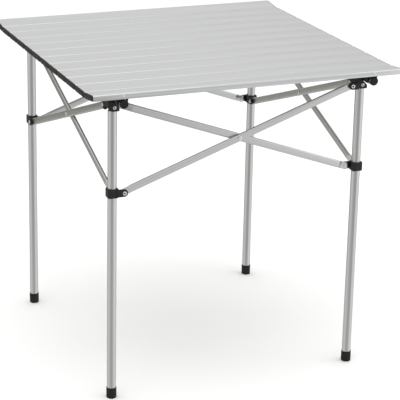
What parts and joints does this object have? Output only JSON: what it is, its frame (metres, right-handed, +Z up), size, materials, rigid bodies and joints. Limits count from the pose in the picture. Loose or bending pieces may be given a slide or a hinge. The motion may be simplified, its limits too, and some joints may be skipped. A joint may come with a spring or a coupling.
{
  "type": "folding table",
  "caption": "Roll-top aluminium camping table: hinged slats clipped to round rails on a four-leg frame with scissor bars on every side",
  "frame": {"origin": "on the ground below the middle of the tabletop", "axes": "+Z up, the tabletop faces it; X runs along the slats; the table's front edge faces -Y"},
  "size_m": [0.7, 0.703, 0.6996],
  "materials": {
    "slats": "satin anodised aluminium, extruded",
    "frame_tube": "satin anodised aluminium tube",
    "rivet": "bright aluminium rivet",
    "black_moulding": "moulded black nylon with a fine grain",
    "foot_rubber": "matt black rubber"
  },
  "bodies": {
    "leg_front_left": {"leg_front_left": "frame_tube", "foot_front_left": "foot_rubber", "bracket_front_left": "black_moulding", "eyelet_front_left": "rivet"},
    "slider_front_left": {"slider_front_left": "black_moulding"},
    "leg_front_right": {"leg_front_right": "frame_tube", "foot_front_right": "foot_rubber", "bracket_front_right": "black_moulding", "eyelet_front_right": "rivet"},
    "slider_front_right": {"slider_front_right": "black_moulding"},
    "leg_back_right": {"leg_back_right": "frame_tube", "foot_back_right": "foot_rubber", "bracket_back_right": "black_moulding", "eyelet_back_right": "rivet"},
    "slider_back_right": {"slider_back_right": "black_moulding"},
    "leg_back_left": {"leg_back_left": "frame_tube", "foot_back_left": "foot_rubber", "bracket_back_left": "black_moulding", "eyelet_back_left": "rivet"},
    "slider_back_left": {"slider_back_left": "black_moulding"},
    "front_bar_inner": {"front_bar_inner": "frame_tube", "front_cross_rivet": "rivet"},
    "front_bar_outer": {"front_bar_outer": "frame_tube"},
    "right_bar_inner": {"right_bar_inner": "frame_tube", "right_cross_rivet": "rivet"},
    "right_bar_outer": {"right_bar_outer": "frame_tube"},
    "back_bar_inner": {"back_bar_inner": "frame_tube", "back_cross_rivet": "rivet"},
    "back_bar_outer": {"back_bar_outer": "frame_tube"},
    "left_bar_inner": {"left_bar_inner": "frame_tube", "left_cross_rivet": "rivet"},
    "left_bar_outer": {"left_bar_outer": "frame_tube"},
    "slat_01": {"slat_01": "slats", "rail_clip_left_front": "black_moulding", "rail_clip_right_front": "black_moulding", "clip_rivet_left_front": "rivet", "clip_rivet_right_front": "rivet"},
    "slat_02": {"slat_02": "slats"},
    "slat_03": {"slat_03": "slats"},
    "slat_04": {"slat_04": "slats"},
    "slat_05": {"slat_05": "slats"},
    "slat_06": {"slat_06": "slats"},
    "slat_07": {"slat_07": "slats"},
    "slat_08": {"slat_08": "slats"},
    "slat_09": {"slat_09": "slats"},
    "slat_10": {"slat_10": "slats"},
    "slat_11": {"slat_11": "slats"},
    "slat_12": {"slat_12": "slats", "rail_clip_left_back": "black_moulding", "rail_clip_right_back": "black_moulding", "clip_rivet_left_back": "rivet", "clip_rivet_right_back": "rivet"},
    "rail_left": {"rail_left": "frame_tube", "rail_cap_left_front": "black_moulding", "rail_cap_left_back": "black_moulding"},
    "rail_right": {"rail_right": "frame_tube", "rail_cap_right_front": "black_moulding", "rail_cap_right_back": "black_moulding"}
  },
  "joints": [
    {"name": "frame_fold", "type": "hinge", "parent": "leg_front_left", "child": "front_bar_inner", "pos_m": [-0.261, -0.284, 0.6535], "axis": [0, 1, 0], "range_deg": [0, 68.9]},
    {"name": "front_cross_pivot", "type": "hinge", "parent": "front_bar_inner", "child": "front_bar_outer", "pos_m": [0, -0.284, 0.56075], "axis": [0, -1, 0], "range_deg": [0, 137.8]},
    {"name": "front_right_leg_pivot", "type": "hinge", "parent": "front_bar_outer", "child": "leg_front_right", "pos_m": [0.261, -0.284, 0.6535], "axis": [0, 1, 0], "range_deg": [0, 68.9]},
    {"name": "front_left_slider_pivot", "type": "hinge", "parent": "front_bar_outer", "child": "slider_front_left", "pos_m": [-0.261, -0.284, 0.468], "axis": [0, 1, 0], "range_deg": [0, 68.9]},
    {"name": "front_right_slider_pivot", "type": "hinge", "parent": "front_bar_inner", "child": "slider_front_right", "pos_m": [0.261, -0.284, 0.468], "axis": [0, -1, 0], "range_deg": [0, 68.9]},
    {"name": "left_bar_pivot", "type": "hinge", "parent": "leg_front_left", "child": "left_bar_outer", "pos_m": [-0.284, -0.261, 0.6535], "axis": [-1, 0, 0], "range_deg": [0, 68.9]},
    {"name": "left_cross_pivot", "type": "hinge", "parent": "left_bar_outer", "child": "left_bar_inner", "pos_m": [-0.284, 0, 0.56075], "axis": [1, 0, 0], "range_deg": [0, 137.8]},
    {"name": "back_left_leg_pivot", "type": "hinge", "parent": "left_bar_inner", "child": "leg_back_left", "pos_m": [-0.284, 0.261, 0.6535], "axis": [-1, 0, 0], "range_deg": [0, 68.9]},
    {"name": "back_left_slider_pivot", "type": "hinge", "parent": "left_bar_outer", "child": "slider_back_left", "pos_m": [-0.284, 0.261, 0.468], "axis": [1, 0, 0], "range_deg": [0, 68.9]},
    {"name": "right_bar_pivot", "type": "hinge", "parent": "leg_front_right", "child": "right_bar_inner", "pos_m": [0.284, -0.261, 0.6535], "axis": [-1, 0, 0], "range_deg": [0, 68.9]},
    {"name": "right_cross_pivot", "type": "hinge", "parent": "right_bar_inner", "child": "right_bar_outer", "pos_m": [0.284, 0, 0.56075], "axis": [1, 0, 0], "range_deg": [0, 137.8]},
    {"name": "back_right_leg_pivot", "type": "hinge", "parent": "right_bar_outer", "child": "leg_back_right", "pos_m": [0.284, 0.261, 0.6535], "axis": [-1, 0, 0], "range_deg": [0, 68.9]},
    {"name": "back_right_slider_pivot", "type": "hinge", "parent": "right_bar_inner", "child": "slider_back_right", "pos_m": [0.284, 0.261, 0.468], "axis": [1, 0, 0], "range_deg": [0, 68.9]},
    {"name": "back_bar_pivot", "type": "hinge", "parent": "leg_back_left", "child": "back_bar_outer", "pos_m": [-0.261, 0.284, 0.6535], "axis": [0, 1, 0], "range_deg": [0, 68.9]},
    {"name": "back_cross_pivot", "type": "hinge", "parent": "back_bar_outer", "child": "back_bar_inner", "pos_m": [0, 0.284, 0.56075], "axis": [0, -1, 0], "range_deg": [0, 137.8]},
    {"name": "tabletop_lift", "type": "slide", "parent": "leg_front_left", "child": "slat_01", "axis": [0, 0, 1], "range_m": [0, 0.3]},
    {"name": "seam_01_hinge", "type": "hinge", "parent": "slat_01", "child": "slat_02", "pos_m": [0, -0.298, 0.6905], "axis": [1, 0, 0], "range_deg": [0, 20.42]},
    {"name": "seam_02_hinge", "type": "hinge", "parent": "slat_02", "child": "slat_03", "pos_m": [0, -0.2384, 0.6905], "axis": [1, 0, 0], "range_deg": [0, 27]},
    {"name": "seam_03_hinge", "type": "hinge", "parent": "slat_03", "child": "slat_04", "pos_m": [0, -0.1788, 0.6905], "axis": [1, 0, 0], "range_deg": [0, 27]},
    {"name": "seam_04_hinge", "type": "hinge", "parent": "slat_04", "child": "slat_05", "pos_m": [0, -0.1192, 0.6905], "axis": [1, 0, 0], "range_deg": [0, 27]},
    {"name": "seam_05_hinge", "type": "hinge", "parent": "slat_05", "child": "slat_06", "pos_m": [0, -0.0596, 0.6905], "axis": [1, 0, 0], "range_deg": [0, 27]},
    {"name": "tabletop_roll", "type": "hinge", "parent": "slat_06", "child": "slat_07", "pos_m": [0, 0, 0.6905], "axis": [1, 0, 0], "range_deg": [0, 27]},
    {"name": "seam_07_hinge", "type": "hinge", "parent": "slat_07", "child": "slat_08", "pos_m": [0, 0.0596, 0.6905], "axis": [1, 0, 0], "range_deg": [0, 27]},
    {"name": "seam_08_hinge", "type": "hinge", "parent": "slat_08", "child": "slat_09", "pos_m": [0, 0.1192, 0.6905], "axis": [1, 0, 0], "range_deg": [0, 27]},
    {"name": "seam_09_hinge", "type": "hinge", "parent": "slat_09", "child": "slat_10", "pos_m": [0, 0.1788, 0.6905], "axis": [1, 0, 0], "range_deg": [0, 27]},
    {"name": "seam_10_hinge", "type": "hinge", "parent": "slat_10", "child": "slat_11", "pos_m": [0, 0.2384, 0.6905], "axis": [1, 0, 0], "range_deg": [0, 27]},
    {"name": "seam_11_hinge", "type": "hinge", "parent": "slat_11", "child": "slat_12", "pos_m": [0, 0.298, 0.6905], "axis": [1, 0, 0], "range_deg": [0, 20.42]},
    {"name": "left_rail_pull", "type": "slide", "parent": "slat_01", "child": "rail_left", "axis": [0, -1, 0], "range_m": [0, 0.6]},
    {"name": "right_rail_pull", "type": "slide", "parent": "slat_01", "child": "rail_right", "axis": [0, -1, 0], "range_m": [0, 0.6]}
  ],
  "couplings": [
    {"joint": "front_cross_pivot", "follows": "frame_fold", "ratio": 2},
    {"joint": "front_right_leg_pivot", "follows": "frame_fold", "ratio": 1},
    {"joint": "front_left_slider_pivot", "follows": "frame_fold", "ratio": 1},
    {"joint": "front_right_slider_pivot", "follows": "frame_fold", "ratio": 1},
    {"joint": "left_bar_pivot", "follows": "frame_fold", "ratio": 1},
    {"joint": "left_cross_pivot", "follows": "frame_fold", "ratio": 2},
    {"joint": "back_left_leg_pivot", "follows": "frame_fold", "ratio": 1},
    {"joint": "back_left_slider_pivot", "follows": "frame_fold", "ratio": 1},
    {"joint": "right_bar_pivot", "follows": "frame_fold", "ratio": 1},
    {"joint": "right_cross_pivot", "follows": "frame_fold", "ratio": 2},
    {"joint": "back_right_leg_pivot", "follows": "frame_fold", "ratio": 1},
    {"joint": "back_right_slider_pivot", "follows": "frame_fold", "ratio": 1},
    {"joint": "back_bar_pivot", "follows": "frame_fold", "ratio": 1},
    {"joint": "back_cross_pivot", "follows": "frame_fold", "ratio": 2},
    {"joint": "seam_01_hinge", "follows": "tabletop_roll", "ratio": 0.75622},
    {"joint": "seam_02_hinge", "follows": "tabletop_roll", "ratio": 1},
    {"joint": "seam_03_hinge", "follows": "tabletop_roll", "ratio": 1},
    {"joint": "seam_04_hinge", "follows": "tabletop_roll", "ratio": 1},
    {"joint": "seam_05_hinge", "follows": "tabletop_roll", "ratio": 1},
    {"joint": "seam_07_hinge", "follows": "tabletop_roll", "ratio": 1},
    {"joint": "seam_08_hinge", "follows": "tabletop_roll", "ratio": 1},
    {"joint": "seam_09_hinge", "follows": "tabletop_roll", "ratio": 1},
    {"joint": "seam_10_hinge", "follows": "tabletop_roll", "ratio": 1},
    {"joint": "seam_11_hinge", "follows": "tabletop_roll", "ratio": 0.75622}
  ]
}
